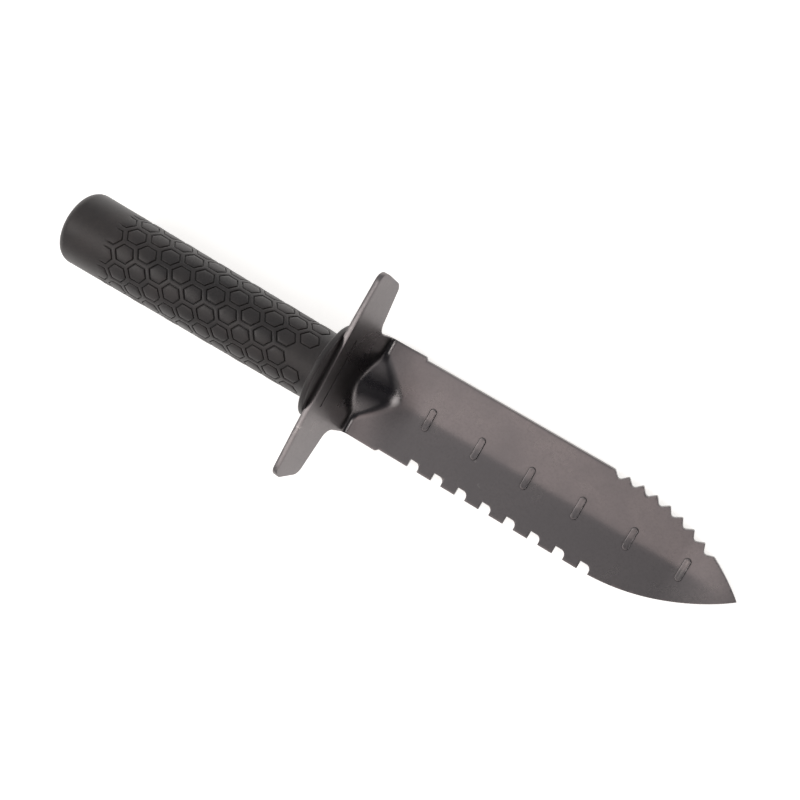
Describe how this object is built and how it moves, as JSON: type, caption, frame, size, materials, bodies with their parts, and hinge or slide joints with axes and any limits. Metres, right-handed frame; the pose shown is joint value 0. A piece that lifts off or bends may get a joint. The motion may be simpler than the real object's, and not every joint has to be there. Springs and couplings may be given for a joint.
{
  "type": "detecting shovel",
  "caption": "Serrated hand digging knife with a troughed pointed blade, cross guard, inch depth marks and a hexagon-patterned grip.",
  "frame": {"origin": "middle of the overall length and width, level with the lowest point of the blade", "axes": "+X along the handle axis towards the tip of the blade, +Z the side the guard stands up on, +Y completes the right-handed frame and is the edge with the round serrations"},
  "size_m": [0.331, 0.0984, 0.0527],
  "materials": {
    "blade_steel": "satin, fine bead-blasted grain, bright worn edges",
    "tube_steel": "mill finish, hidden",
    "collar_rubber": "smooth satin",
    "grip_rubber": "satin, moulded hexagon pattern"
  },
  "bodies": {
    "root": {"blade_and_guard": "blade_steel", "handle_tube": "tube_steel", "tube_weld": "tube_steel", "tube_end_disc": "tube_steel", "front_collar": "collar_rubber", "grip_sleeve": "grip_rubber"}
  },
  "joints": []
}
